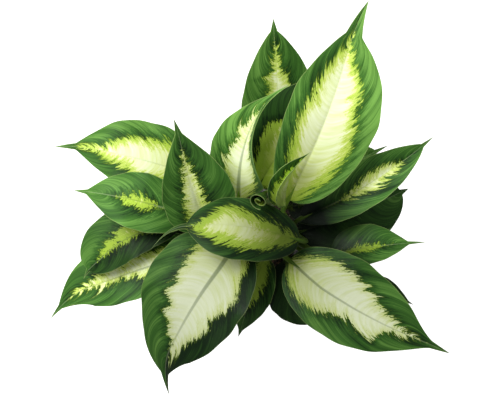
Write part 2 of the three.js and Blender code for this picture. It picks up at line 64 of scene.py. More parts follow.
# Leaves by cane, as in the part's source. share: where on the cane the petiole starts; base, tip: ends of
# the midrib; widest, drip, taper: form of the outline; arch, bow: bend up and sideways; fold, cup, curl:
# angles of the left and right half, at the midrib, more at the base and towards the margin; hook: shift of
# the tip; wave: height, count and phase along the margin
LEAVES = {
    "a1": dict(share=0.97, base=(-59, -28, 252), tip=(-90, 51, 391), width=84, halves=(1, 0.98),
               widest=0.33, drip=0.12, taper=1.1, fold=(14, 28), curl=(0, -10), wave=(1.5, 2, 0.1)),
    "a2": dict(share=0.9, base=(-25, -1, 262), tip=(16, 87, 385), width=74, halves=(1, 0.9), widest=0.32,
               drip=0.1, taper=1.3, arch=8, bow=-12, fold=(5, 75), cup=(0, -115), cup_end=0.8,
               curl=(-10, 0), hook=(15, 6, -5), wave=(1.5, 2, 0.4)),
    "a3": dict(share=0.8, base=(-76, 40, 228), tip=(-240, 69, 240), width=84, widest=0.36, drip=0.16,
               taper=1.1, arch=16, bow=6, fold=(6, 6), curl=(-10, -10), wave=(2, 3, 0.2)),
    "a4": dict(share=0.7, base=(-80, -14, 240), tip=(-213, 14, 250), width=67, widest=0.42, drip=0.12,
               taper=1.1, arch=14, bow=1, fold=(8, 8), curl=(-14, -10), wave=(1.5, 3, 0.7)),
    "a5": dict(share=0.6, base=(-95, -19, 215), tip=(-206, -77, 192), width=64, widest=0.55, drip=0.08,
               taper=0.5, arch=14, bow=20, fold=(8, 8), curl=(-14, -10), wave=(1.5, 2, 0.3)),
    "a6": dict(share=0.48, base=(-71, -41, 186), tip=(-244, -96, 158), width=76, widest=0.55, drip=0.06,
               taper=1.0, arch=12, bow=4, fold=(8, 8), curl=(-10, -10), hook=(-6, -22, -6),
               wave=(1.5, 3, 0.5)),
    "a7": dict(share=0.36, base=(-86, -24, 176), tip=(-146, -32, 164), width=46, widest=0.4, drip=0.1,
               taper=1.1, arch=6, fold=(6, 6), curl=(-10, -10), wave=(1, 2, 0.5)),
    "b1": dict(share=0.72, base=(17, 48, 224), tip=(13, 171, 372), width=80, halves=(1, 1.2), widest=0.38,
               drip=0.08, taper=0.9, fold=(22, 0), curl=(-10, -10), wave=(1.5, 2, 0.1)),
    "b2": dict(share=0.86, lean=55, base=(-2, 18, 258), tip=(74, 120, 352), width=84, widest=0.5, drip=0.1,
               taper=0.9, fold=(10, 10), curl=(-10, -10), wave=(1.5, 2, 0.1)),
    "b3": dict(share=0.78, base=(52, 22, 230), tip=(146, 64, 262), width=58, widest=0.42, drip=0.16,
               taper=0.9, arch=4, fold=(10, 10), curl=(-10, -10), wave=(1.5, 2, 0.1)),
    "b4": dict(share=0.7, base=(-25, -47, 250), tip=(-121, -198, 178), width=124, halves=(0.98, 1.02),
               widest=0.4, drip=0.1, taper=0.95, arch=30, bow=8, fold=(24, 0), curl=(-14, -14),
               hook=(16, -12, -8), wave=(1.5, 3, 0.3)),
    "b5": dict(share=0.56, base=(5, -52, 196), tip=(-26, -137, 136), width=54, widest=0.4, drip=0.08,
               taper=1.2, arch=12, fold=(30, 6), curl=(-10, -10), wave=(1, 2, 0.3)),
    "c1": dict(share=1.0, base=(24, -16, 296), tip=(51, 26, 355), width=44, widest=0.36, drip=0.08,
               taper=1.2, bow=-8, fold=(44, 84), curl=(10, 20), wave=(0.5, 2, 0.3)),
    "c2": dict(share=0.86, base=(30, -6, 285), tip=(100, 169, 421), width=100, halves=(0.9, 1.08),
               widest=0.46, drip=0.17, taper=1.0, neck=0.19, arch=14, bow=10, fold=(30, 4), curl=(-12, -12),
               hook=(10, 0, 0), wave=(2.5, 3, 0.3)),
    "c3": dict(share=0.92, base=(41, -51, 280), tip=(-120, -43, 298), width=70, widest=0.42, drip=0.25,
               taper=0.8, arch=18, bow=4, fold=(8, 4), cup=(0, 6), curl=(-12, -12), hook=(0, -18, -18),
               wave=(1.5, 2, 0.3)),
    "c4": dict(share=0.78, lean=40, base=(49, -15, 241), tip=(191, 62, 300), width=62, halves=(1.05, 0.82),
               widest=0.4, drip=0.1, taper=0.9, arch=10, bow=8, fold=(50, 6), cup=(20, 0), curl=(-12, -12),
               wave=(1.5, 2, 0.3)),
    "c5": dict(share=0.72, base=(46, -20, 187), tip=(180, 38, 172), width=78, halves=(1, 1.1), widest=0.45,
               drip=0.08, taper=0.7, arch=8, bow=4, fold=(8, 0), curl=(-12, -12), wave=(1.5, 2, 0.3)),
    "c6": dict(share=0.64, base=(84, -50, 206), tip=(192, -38, 213), width=56, widest=0.32, drip=0.2,
               taper=1.1, arch=10, fold=(8, 42), curl=(-12, -12), wave=(1.5, 2, 0.3)),
    "c7": dict(share=0.76, base=(33, -66, 241), tip=(219, -163, 184), width=95, halves=(0.95, 1.05),
               widest=0.36, drip=0.12, taper=1.3, arch=26, bow=10, fold=(20, 6), curl=(-14, -14),
               wave=(2, 3, 0.3)),
    "c8": dict(share=0.5, base=(112, -72, 150), tip=(186, -98, 136), width=34, widest=0.4, drip=0.1,
               taper=1.1, arch=10, fold=(8, 8), curl=(-12, -12), wave=(1, 2, 0.3)),
    "c9": dict(share=0.58, base=(30, -53, 188), tip=(76, -126, 136), width=88, halves=(1.1, 1), widest=0.45,
               drip=0.1, taper=0.8, arch=10, fold=(8, 8), curl=(-12, -12), wave=(1, 2, 0.3)),
    "c10": dict(share=0.66, base=(33, 6, 206), tip=(126, 14, 222), width=54, widest=0.36, drip=0.1,
               taper=0.9, arch=4, fold=(10, 6), curl=(-10, -10), wave=(1, 2, 0.3)),
}

# Markings. pale: length share, then where the pale zone's left and right edge lie, as width shares from -1
# to 1; spine: how far the midrib lies off the middle; deep: how dark the green is left and
# right of it, the leaf's own tone together with painted shade on a shaded half and on leaves deep in the
# crown; yellow: how far the pale zone is green-yellow, not cream; rib: how dark the midrib is;
# shade: painted shade that darkens the blade at its base, middle and tip
MARKINGS = {
    "a1": dict(spine=-0.1, deep=(0.65, 0.8), yellow=0.12, rib=0.1, shade=(0.1, 0, 0.05), pale=[
        (0, -0.5, 0.3), (0.2, -0.5, 0.16), (0.3, -0.42, 0.12), (0.4, -0.36, 0.1), (0.5, -0.26, 0.07),
        (0.6, -0.2, 0), (0.72, -0.11, -0.09)]),
    "a2": dict(deep=(0.15, 0.3), yellow=0.04, rib=0.9, shade=(0, 0, 0), pale=[
        (0, -0.4, 0.6), (0.15, -0.42, 0.7), (0.3, -0.5, 0.7), (0.4, -0.38, 0.6), (0.5, -0.22, 0.5),
        (0.58, -0.28, 0.4), (0.7, -0.22, 0.25), (0.8, 0, 0.05)]),
    "a3": dict(spine=-0.12, deep=(0.5, 0.4), yellow=0.28, rib=0.25, shade=(0.25, 0.12, 0), pale=[
        (0, -0.6, 0.55), (0.25, -0.62, 0.55), (0.38, -0.64, 0.5), (0.45, -0.48, 0.46), (0.52, -0.5, 0.38),
        (0.6, -0.42, 0.24), (0.68, -0.3, 0.1), (0.75, -0.18, -0.02), (0.8, -0.1, -0.08)]),
    "a4": dict(deep=(0.6, 0.5), yellow=0.5, rib=0.7, shade=(0.45, 0.05, 0), pale=[
        (0, 0.2, -0.2), (0.24, 0.08, -0.08), (0.32, -0.12, 0.06), (0.4, -0.3, 0.22), (0.46, -0.12, 0.12),
        (0.52, -0.18, 0.1), (0.6, 0, 0)]),
    "a5": dict(spine=-0.22, deep=(1.0, 0.6), yellow=0.7, rib=0.7, shade=(0.7, 0.35, 0.15), pale=[
        (0, -0.25, 0.2), (0.3, -0.26, 0.16), (0.45, -0.27, 0.2), (0.6, -0.25, 0.14), (0.72, -0.2, 0.0),
        (0.78, -0.15, -0.1)]),
    "a6": dict(spine=-0.15, deep=(0.6, 0.75), yellow=0.15, rib=0.8, shade=(0.1, 0, 0), pale=[
        (0, -0.5, 0.3), (0.38, -0.5, 0.3), (0.45, -0.33, 0.25), (0.52, -0.25, 0.22), (0.65, -0.26, 0.18),
        (0.76, -0.2, 0.08), (0.87, -0.1, -0.04)]),
    "a7": dict(deep=(0.8, 0.8), yellow=0.9, rib=0.5, shade=(0.7, 0.5, 0.4), pale=[
        (0, -0.1, 0.1), (0.6, 0, 0)]),
    "b1": dict(spine=0.08, deep=(0.35, 0.65), yellow=0.22, rib=0.2, shade=(0.3, 0.1, 0.1), pale=[
        (0, -0.3, 0.4), (0.48, -0.24, 0.5), (0.55, -0.14, 0.5), (0.6, -0.16, 0.36), (0.64, -0.4, 0.28),
        (0.67, -0.06, 0.26), (0.76, 0.04, 0.16), (0.83, 0.08, 0.1)]),
    "b2": dict(deep=(0.95, 0.95), yellow=0.8, rib=0.3, shade=(0.15, 0.2, 0.45), pale=[
        (0, -0.6, 0.6), (0.2, -0.62, 0.6), (0.44, -0.6, 0.6), (0.52, -0.3, 0.3), (0.6, 0, 0)]),
    "b3": dict(deep=(0.1, 0.1), yellow=0.9, rib=0.3, shade=(0.3, 0, 0), pale=[
        (0, -0.2, 0.2), (0.5, 0, 0)]),
    "b4": dict(spine=-0.08, deep=(1.2, 0.6), yellow=0.04, rib=1.0, shade=(0.5, 0.5, 0.6), pale=[
        (0, -0.6, 0.6), (0.1, -0.66, 0.6), (0.2, -0.62, 0.58), (0.3, -0.73, 0.53), (0.4, -0.66, 0.46),
        (0.5, -0.54, 0.49), (0.55, -0.6, 0.32), (0.6, -0.58, 0.42), (0.66, -0.46, 0.18), (0.72, -0.38, 0.04),
        (0.78, -0.44, -0.2), (0.83, -0.38, -0.34)]),
    "b5": dict(deep=(0.8, 0.8), yellow=0.9, rib=0.2, shade=(0.6, 0.4, 0.4), pale=[
        (0, -0.5, 0.3), (0.3, -0.45, 0.2), (0.5, -0.3, 0.1), (0.65, 0, 0)]),
    "c1": dict(deep=(0.7, 0.6), yellow=0.45, rib=0.2, shade=(0.45, 0, 0), pale=[
        (0, -0.5, 0.5), (0.1, -0.7, 0.9), (0.3, -0.6, 0.95), (0.5, -0.3, 0.9), (0.7, -0.1, 0.8),
        (0.85, 0, 0.5)]),
    "c2": dict(deep=(0.5, 0.05), yellow=0.26, rib=0.15, shade=(0.35, 0, 0), pale=[
        (0, -0.45, 0.5), (0.1, -0.5, 0.58), (0.2, -0.58, 0.66), (0.3, -0.62, 0.7), (0.4, -0.64, 0.6),
        (0.5, -0.53, 0.48), (0.6, -0.53, 0.52), (0.7, -0.42, 0.33), (0.78, -0.2, 0.13), (0.82, 0, 0.03)]),
    "c3": dict(spine=0.08, deep=(0.9, 0.8), yellow=0.5, rib=0.1, shade=(0.85, 0.45, 0.3), pale=[
        (0, -0.1, 0.1), (0.08, -0.35, 0.3), (0.2, -0.55, 0.4), (0.3, -0.6, 0.46), (0.4, -0.58, 0.6),
        (0.5, -0.54, 0.72), (0.56, -0.62, 0.58), (0.62, -0.42, 0.4), (0.68, -0.36, 0.15), (0.73, -0.05, 0)]),
    "c4": dict(spine=0.04, deep=(0.6, 0.6), yellow=0.15, rib=0.45, shade=(1.0, 0.02, 0), pale=[
        (0, 0.3, -0.3), (0.2, 0.14, -0.14), (0.3, -0.02, 0.13), (0.4, -0.16, 0.28), (0.5, -0.28, 0.4),
        (0.58, -0.36, 0.42), (0.64, -0.26, 0.24), (0.7, -0.06, 0.1), (0.75, 0.1, -0.1)]),
    "c5": dict(deep=(0.8, 0.8), yellow=1.0, rib=0.5, shade=(0.95, 0.62, 0.3), pale=[
        (0, 0.3, -0.3), (0.3, 0.05, -0.05), (0.5, 0.05, -0.05), (0.6, 0.3, -0.3)]),
    "c6": dict(deep=(0.55, 0.6), yellow=0.9, rib=0.4, shade=(0.9, 0.25, 0.15), pale=[
        (0, 0.2, -0.2), (0.15, -0.06, 0.15), (0.3, -0.12, 0.2), (0.45, -0.05, 0.12), (0.6, 0.1, -0.1)]),
    "c7": dict(spine=0.12, deep=(0.7, 0.6), yellow=0.03, rib=0.8, shade=(0.6, 0.4, 0.2), pale=[
        (0, -0.35, 0.45), (0.05, -0.5, 0.62), (0.14, -0.66, 0.74), (0.24, -0.68, 0.64), (0.33, -0.57, 0.5),
        (0.43, -0.5, 0.4), (0.48, -0.38, 0.54), (0.57, -0.24, 0.62), (0.62, -0.18, 0.32), (0.71, -0.02, 0.22),
        (0.79, 0.08, 0.1)]),
    "c8": dict(deep=(0.9, 0.9), yellow=1.0, rib=0.5, shade=(0.7, 0.5, 0.5), pale=[
        (0, -0.1, 0.1), (0.4, 0, 0)]),
    "c9": dict(deep=(0.95, 0.95), yellow=1.0, rib=0.5, shade=(0.85, 0.6, 0.5), pale=[
        (0, -0.1, 0.1), (0.4, 0, 0)]),
    "c10": dict(deep=(1.0, 1.0), yellow=1.0, rib=0.4, shade=(0.9, 0.85, 0.8), pale=[
        (0, -0.1, 0.1), (0.4, 0, 0)]),
}

# Side veins: lean as a share of the length, bend, spacing and relief in mm, form of the puffs between them,
# and how far those of the right half are moved along
VEINS = dict(lean=0.3, bend=1.9, spacing=6.0, relief=0.24, blunt=0.7, level=0.6, right=400)
# Midrib in mm on a blade of the usual width: half width at base and tip, groove, spread of the ridge below
MIDRIB = dict(usual=90, base=2.0, tip=0.5, groove=0.7, spread=1.1)
# Unevenness of the margin: share of the width, waves along it and shift between the halves
UNEVEN = dict(share=0.01, waves=(15, 37), shift=1.7)
# Length shares that the three painted shade values belong to
PAINTED_SHADE_AT = (0.12, 0.5, 1)
# Fall of the pale zone past its last point, and the least half width that it is measured by, in mm
PAST_ZONE = 100
LEAST_HALF = 4
# Values that the leaf material reads
LEAF_VALUES = ("place", "tone", "marking", "under", "stalk", "shade")
VECTOR_VALUES = ("place", "tone", "marking")
# A stalk's sides and its values, which lie far from a margin and from a pale zone
STALK = dict(sides=18, rim=5.0, marking=(-20.0, 0.0, 0.0))
# How the end of a petiole sinks into the midrib: length shares, depths in mm and shares of its radius
ROOTED = dict(at=(0.03, 0.06, 0.1), depth=(1.2, 1.4, 1.4), radius=(0.75, 0.55, 0.3))

SPEAR = dict(foot=(11, 15, 222), bend=(7, 2, 296), top=(-4, -26, 345), start=0.4, turns=1.7, inner=2.8,
             pitch=4.8, lip=14, lip_turn=1.2, tilt=20, waist=0.4, half=0.45, rows=60, columns=120)
# shade of the rolled leaf and of its stem is painted shade, darkest low in the crown; margin is the least
# distance to the rim, where the painted edge highlight shows
SPEAR_LOOK = dict(width=60, lean=0.4, margin=0.3, green=-14.0, cream=9.0, tone=(0.8, 0.4, 0.5),
                  shade=((0.4, 0.7), (0.85, 0.4), (1, 0.22)))
SPEAR_STEM = dict(radii=((0, 3.5), (0.45, 4.4)), rows=20, spacing=1.3, tone=(0.35, 0.5, 0.5), shade=0.5)

# Colours as seen in daylight, 0 to 255
# GREEN_BLACK is also the colour that painted shade darkens the leaves towards
GREEN_BLACK = (13, 21, 14)
GREEN_DEEP = (32, 56, 29)
GREEN_MID = (64, 106, 45)
GREEN_LIGHT = (114, 162, 76)
LIME = (158, 194, 54)
STRAW = (206, 221, 118)
CREAM = (241, 250, 213)
RIB_PALE = (190, 206, 160)
RIB_DARK = (56, 86, 44)
# Painted highlight along the leaf margins and the rim of the rolled leaf
EDGE_HIGHLIGHT = (176, 196, 120)
UNDERSIDE = (142, 168, 98)
CANE_LIGHT = (118, 140, 66)
CANE_CORK = (122, 112, 74)
CANE_FISSURE = (70, 76, 40)
CANE_SCAR = (176, 166, 120)
PEAT = ((18, 14, 10), (54, 42, 30))
BARK = ((42, 30, 20), (86, 64, 44))
GRIT = (112, 106, 92)
CHARCOAL = ((34, 35, 38), (52, 53, 56))
POT_SPECKLE = (112, 110, 106)
POT_WORN = (124, 120, 114)

# Noise drawn out along the side veins: length and width in mm, detail, layer and strength; tone_and_sheen is
# uneven green that also paints soft sheen, and lines are stripes that also paint light and shade along the
# vein ridges
STREAKS = dict(
    swing=(30, 20, 1, 5, 3.5), spikes=(21, 6, 3, 0, 20), teeth=(6, 2.2, 3, 11, 17),
    flecks=(1.8, 1.1, 2, 17, 15), tone_and_sheen=(44, 15, 2, 23, 1.25), lines=(26, 2.2, 2, 29, 0.85),
    tender=(40, 4, 3, 37, 0.9), stalk=(8, 30, 4, 0, 1.2), quilt=(26, 2.4, 2, 29, 1.2),
    wrinkle=(6, 1.2, 4, 41, 1), gloss=(12, 5, 2, 43, 0.3))
# Noise of the other pieces: scale, detail and roughness
NOISE = dict(
    mottle=(180, 4, 0.6), fissures=(9, 3, 0.5), peat=(420, 5, 0.7), bark=(160, 3, 0.5), speckle=(900, 3, 0.7),
    glaze=(26, 3, 0.5), wear=(240, 4, 0.5))
# Distances inside the pale zone's edge over which the leaf changes, in mm
FADE = dict(cream=(-0.4, 0.8), lime=(-3.5, 0.2), inner=(0.0, 14.0), outward=(-2.0, -16.0))
# How strongly the layers of a leaf show; black is the near-black of the deepest greens, partly painted shade,
# and margin the painted highlight along the edge
LAYER = dict(lime=0.45, black=0.5, very_yellow=0.45, rib=0.9, rib_pale=0.25, margin=0.4, under=0.5, stalk=0.6)
# Depth in metres and strength of the fine relief, and the roughness, of each material
RELIEF = dict(leaf=(0.0003, 0.6), cane=(0.0005, 0.6), soil=(0.0012, 0.9), pot=(0.0003, 0.5))
ROUGH = dict(leaf=0.42, cane=0.4, soil=0.92, pot=0.62, floor=0.9)
LEAF_SHINE = 0.07
TURNING_RINGS = 0.0022

# Lights, sky, floor and camera, in metres, watts and degrees
LIGHT_TARGET = (-0.01, 0.0, 0.25)
LIGHTS = {
    "key": dict(location=(-0.6, 0.05, 1.7), size=0.8, power=28, colour=(1.0, 0.99, 0.97)),
    "back": dict(location=(-0.3, 1.3, 1.2), size=0.8, power=6, colour=(1.0, 1.0, 1.0)),
}
SKY = 0.45
FLOOR = dict(reach=4.0, drop=0.0005, grey=0.5)
CAMERA = dict(target=(-0.012, 0.0, 0.260), elevation=75, distance=1.25, lens=80, sensor=36)
WHITE = (1.0, 1.0, 1.0, 1.0)


def linear(colour):
    """Blender colour of a 0 to 255 screen colour."""
    gamma = 2.2
    return tuple((c / 255) ** gamma for c in colour) + (1.0,)


class Shader:
    """Short hand for the node tree of a material or a world."""

    def __init__(self, owner):
        self.owner = owner
        owner.use_nodes = True
        self.tree = owner.node_tree
        self.principled = self.tree.nodes.get("Principled BSDF")

    def put(self, socket, value):
        """Links a socket to an output, or gives it a constant."""
        if isinstance(value, bpy.types.NodeSocket):
            self.tree.links.new(value, socket)
        else:
            socket.default_value = value

    def node(self, kind, inputs=(), **settings):
        node = self.tree.nodes.new(kind)
        for key, value in settings.items():
            setattr(node, key, value)
        for key, value in dict(inputs).items():
            self.put(node.inputs[key], value)
        return node

    def math(self, operation, *values, clamp=False):
        inputs = dict(enumerate(values))
        return self.node("ShaderNodeMath", inputs, operation=operation, use_clamp=clamp).outputs[0]

    def plus(self, a, b, **how):
        return self.math("ADD", a, b, **how)

    def minus(self, a, b, **how):
        return self.math("SUBTRACT", a, b, **how)

    def times(self, a, b, **how):
        return self.math("MULTIPLY", a, b, **how)

    def mix(self, share, a, b):
        """Colour between a and b, each an output or a 0 to 255 screen colour."""
        share_socket, a_socket, b_socket, result_socket = 0, 6, 7, 2
        a, b = [linear(x) if isinstance(x, tuple) else x for x in (a, b)]
        inputs = {share_socket: share, a_socket: a, b_socket: b}
        return self.node("ShaderNodeMix", inputs, data_type="RGBA").outputs[result_socket]

    def step(self, value, low, high):
        """0 at low, 1 at high, smooth between."""
        inputs = {0: value, 1: low, 2: high}
        return self.node("ShaderNodeMapRange", inputs, interpolation_type="SMOOTHSTEP").outputs[0]

    def noise(self, vector, scale, detail, roughness=0.5):
        inputs = {"Vector": vector, "Scale": scale, "Detail": detail, "Roughness": roughness}
        return self.node("ShaderNodeTexNoise", inputs).outputs[0]

    def vector(self, x, y, z=0.0):
        return self.node("ShaderNodeCombineXYZ", {0: x, 1: y, 2: z}).outputs[0]

    def attribute(self, name):
        return self.node("ShaderNodeAttribute", attribute_name=name).outputs["Fac"]

    def attribute_parts(self, name):
        vector = self.node("ShaderNodeAttribute", attribute_name=name).outputs["Vector"]
        return self.node("ShaderNodeSeparateXYZ", {0: vector}).outputs

    def position(self):
        return self.node("ShaderNodeTexCoord").outputs["Object"]

    def bump(self, height, distance, strength):
        node = self.node("ShaderNodeBump", {"Height": height, "Distance": distance, "Strength": strength})
        self.put(self.principled.inputs["Normal"], node.outputs[0])

    def finish(self, colour, roughness, **constants):
        inputs = {"Base_Color": colour, "Roughness": roughness, **constants}
        for key, value in inputs.items():
            self.put(self.principled.inputs[key.replace("_", " ")], value)
        return self.owner


class LeafShader(Shader):
    """Node tree of the leaves, with the values that blades and stalks carry."""

    def __init__(self):
        super().__init__(bpy.data.materials.new("leaf"))
        self.along, self.across, self.rim = self.attribute_parts("place")
        self.deep, self.yellow, seed = self.attribute_parts("tone")
        self.zone, self.share, self.rib = self.attribute_parts("marking")
        self.under, self.stalk, self.shade = map(self.attribute, ("under", "stalk", "shade"))
        self.shift = self.times(seed, 90.0)

    def streaks(self, name):
        """Noise drawn out along the side veins, as much above zero as below."""
        length, width, detail, layer, strength = STREAKS[name]
        place = self.vector(
            self.math("DIVIDE", self.along, width),
            self.math("DIVIDE", self.across, length),
            self.plus(self.shift, layer),
        )
        return self.times(self.minus(self.noise(place, 1.0, detail), 0.5), strength)


def feathered_reach(s):
    """How far inside the pale zone a place lies once the zone's edge is feathered, in mm."""
    spikes = s.times(s.streaks("spikes"), s.plus(s.streaks("swing"), 1.0))
    fine = s.plus(s.streaks("teeth"), s.streaks("flecks"))
    return s.plus(s.plus(s.zone, spikes), fine)


def leaf_green(s, reach):
    """Green that lightens away from the pale zone and darkens on its darker side, partly painted shade; its
    streaks carry painted sheen and painted light and shade along the vein ridges.
    """
    outward = s.times(s.step(reach, *FADE["outward"]), 0.42)
    # The darker side pulls the green down: the leaf's own tone with painted shade on a shaded half
    light = s.plus(s.plus(outward, s.times(s.deep, -0.6)), 0.5)
    # Uneven green along the veins, with painted sheen and painted shading of the vein ridges
    tone_and_sheen = s.plus(s.streaks("tone_and_sheen"), s.streaks("lines"))
    twice = s.times(s.plus(light, tone_and_sheen, clamp=True), 2.0)
    green = s.mix(s.math("MINIMUM", twice, 1.0), GREEN_DEEP, GREEN_MID)
    green = s.mix(s.minus(twice, 1.0, clamp=True), green, GREEN_LIGHT)
    # The deepest greens go near-black: their own dark tone and painted shade on hidden leaves and shaded
    # halves
    return s.mix(s.times(s.step(s.deep, 0.7, 1.0), LAYER["black"]), green, GREEN_BLACK)


def leaf_cream(s, reach):
    """Cream that turns to straw and lime at the leaf's base and near the zone's edge."""
    base = s.times(s.minus(1.0, s.step(s.share, 0.04, 0.42)), 0.38)
    fringe = s.plus(s.times(s.yellow, 1.6), 0.3)
    edge = s.times(s.minus(1.0, s.step(reach, *FADE["inner"])), fringe)
    tender = s.plus(s.plus(s.times(s.yellow, 0.7), base), edge)
    tender = s.plus(tender, s.streaks("tender"), clamp=True)
    strong = s.times(tender, 1.6)
    pale = s.mix(s.math("MINIMUM", strong, 1.0), CREAM, STRAW)
    return s.mix(s.minus(strong, 0.8, clamp=True), pale, LIME)


def with_midrib(s, colour, cream_share):
    """Colour with the midrib drawn in: paler on green, and darker on cream where rib says so."""
    broad = s.plus(s.times(s.math("POWER", s.rib, 6.0), 2.6), 1.0)
    half = s.plus(s.times(s.minus(1.0, s.share), broad), 0.3)
    away = s.math("DIVIDE", s.math("ABSOLUTE", s.across), half)
    rib_share = s.minus(1.0, s.step(away, 0.5, 1.2))
    dark = s.times(s.times(s.rib, 0.7), s.minus(1.15, s.share), clamp=True)
    on_green = s.mix(LAYER["rib_pale"], colour, RIB_PALE)
    rib = s.mix(cream_share, on_green, s.mix(dark, colour, RIB_DARK))
    return s.mix(s.times(rib_share, LAYER["rib"]), colour, rib)


def stalk_green(s):
    """Streaked green of the stalks, darker where the leaf's deep green and painted shade are strong."""
    light = s.plus(s.streaks("stalk"), 0.4, clamp=True)
    return s.mix(s.times(s.deep, LAYER["stalk"]), s.mix(light, GREEN_MID, LIME), GREEN_DEEP)


def leaf_material():
    """Feathered cream zone on green, midrib, side veins, painted highlight along the margin, dull underside
    and stalk, with painted shade over all.
    """
    s = LeafShader()
    reach = feathered_reach(s)
    cream_share = s.step(reach, *FADE["cream"])
    colour = s.mix(s.times(s.step(reach, *FADE["lime"]), LAYER["lime"]), leaf_green(s, reach), LIME)
    faint = s.minus(1.0, s.times(s.step(s.yellow, 0.8, 1.0), LAYER["very_yellow"]))
    colour = s.mix(s.times(cream_share, faint), colour, leaf_cream(s, reach))
    colour = with_midrib(s, colour, cream_share)
    # Painted highlight along the margin, where rim runs out
    margin = s.minus(1.0, s.step(s.rim, 0.1, 0.8))
    colour = s.mix(s.times(margin, LAYER["margin"]), colour, EDGE_HIGHLIGHT)
    colour = s.mix(s.times(s.under, LAYER["under"]), colour, UNDERSIDE)
    colour = s.mix(s.stalk, colour, stalk_green(s))
    # Painted shade: darkens towards near-black green by the shade value
    colour = s.mix(s.shade, colour, GREEN_BLACK)
    s.bump(s.plus(s.streaks("quilt"), s.streaks("wrinkle")), *RELIEF["leaf"])
    rough = s.plus(s.streaks("gloss"), s.times(s.under, 0.2))
    return s.finish(colour, s.plus(rough, ROUGH["leaf"]), Specular_IOR_Level=LEAF_SHINE)


def cane_material():
    """Green, mottled skin, corky low down, with fissures and pale leaf scars."""
    s = Shader(bpy.data.materials.new("cane"))
    scar = s.attribute("scar")
    up = s.attribute("up")
    mottle = s.noise(s.position(), *NOISE["mottle"])
    skin = s.mix(s.step(mottle, 0.3, 0.7), GREEN_MID, CANE_LIGHT)
    skin = s.mix(s.times(s.step(up, 0.75, 0.1), 0.75), skin, CANE_CORK)
    fissures = s.noise(s.vector(s.times(up, 30.0), mottle), *NOISE["fissures"])
    skin = s.mix(s.times(s.step(fissures, 0.55, 0.7), 0.35), skin, CANE_FISSURE)
    colour = s.mix(s.times(scar, 0.8), skin, CANE_SCAR)
    s.bump(s.plus(mottle, s.times(scar, 0.6)), *RELIEF["cane"])
    return s.finish(colour, s.plus(s.times(mottle, 0.3), ROUGH["cane"]))


def soil_material():
    """Dark peat with crumbs of bark and grey grit; the grain value tells the crumbs apart."""
    s = Shader(bpy.data.materials.new("soil"))
    grain = s.attribute("grain")
    place = s.position()
    speckle = s.noise(place, *NOISE["peat"])
    peat = s.mix(s.step(speckle, 0.35, 0.7), *PEAT)
    bark = s.mix(s.noise(place, *NOISE["bark"]), *BARK)
    colour = s.mix(s.step(grain, 0.5, 0.62), peat, bark)
    colour = s.mix(s.step(grain, 0.9, 0.93), colour, GRIT)
    s.bump(speckle, *RELIEF["soil"])
    return s.finish(colour, ROUGH["soil"])


def pot_material():
    """Matte charcoal ceramic with fine speckle, turning rings and a paler worn rim."""
    s = Shader(bpy.data.materials.new("pot"))
    place = s.position()
    speckle = s.noise(place, *NOISE["speckle"])
    colour = s.mix(s.times(s.noise(place, *NOISE["glaze"]), 0.8), *CHARCOAL)
    colour = s.mix(s.step(speckle, 0.66, 0.78), colour, POT_SPECKLE)
    worn = s.times(s.attribute("wear"), s.step(s.noise(place, *NOISE["wear"]), 0.35, 0.6))
    colour = s.mix(s.times(worn, 0.5), colour, POT_WORN)
    height = s.node("ShaderNodeSeparateXYZ", {0: place}).outputs[2]
    rings = s.math("SINE", s.times(height, 2 * math.pi / TURNING_RINGS))
    s.bump(s.plus(s.times(rings, 0.25), speckle), *RELIEF["pot"])
    return s.finish(colour, s.plus(s.times(speckle, 0.2), ROUGH["pot"]))


def floor_material():
    """White to the eye without lighting the plant from below."""
    s = Shader(bpy.data.materials.new("floor"))
    seen = s.node("ShaderNodeLightPath").outputs["Is Camera Ray"]
    s.put(s.principled.inputs["Emission Strength"], seen)
    grey = (FLOOR["grey"],) * 3 + (1.0,)
    return s.finish(grey, ROUGH["floor"], Emission_Color=WHITE)


def unit(vectors):
    return vectors / np.linalg.norm(vectors, axis=-1, keepdims=True)


def mix(a, b, share):
    return a + (b - a) * share


def joined(x, y, z):
    """Vectors with the given parts, each an array or one number for all."""
    return np.stack(np.broadcast_arrays(x, y, z), axis=-1).astype(float)


def curve(knots, share):
    """Points on the smooth curve from the first to the last knot, drawn towards those between."""
    share = np.asarray(share, float)[:, None]
    last = len(knots) - 1
    weights = [math.comb(last, k) * (1 - share) ** (last - k) * share ** k for k in range(last + 1)]
    return sum(weight * knot for weight, knot in zip(weights, knots))


def width_share(t, leaf):
    """Share of the full width at a share t of the length: round base, tapering body, drip tip."""
    widest, drip = leaf["widest"], leaf["drip"]
    neck = leaf.get("neck", BLADE["neck"])
    near = np.sqrt(np.maximum(0, 1 - np.maximum(0, (widest - t) / widest) ** BLADE["round"]))
    on = np.clip((t - widest) / (1 - drip - widest), 0, 1)
    far = (1 - on * on) ** leaf["taper"] + neck * on * on * np.minimum(1, (1 - t) / drip)
    return np.where(t < widest, near, far)


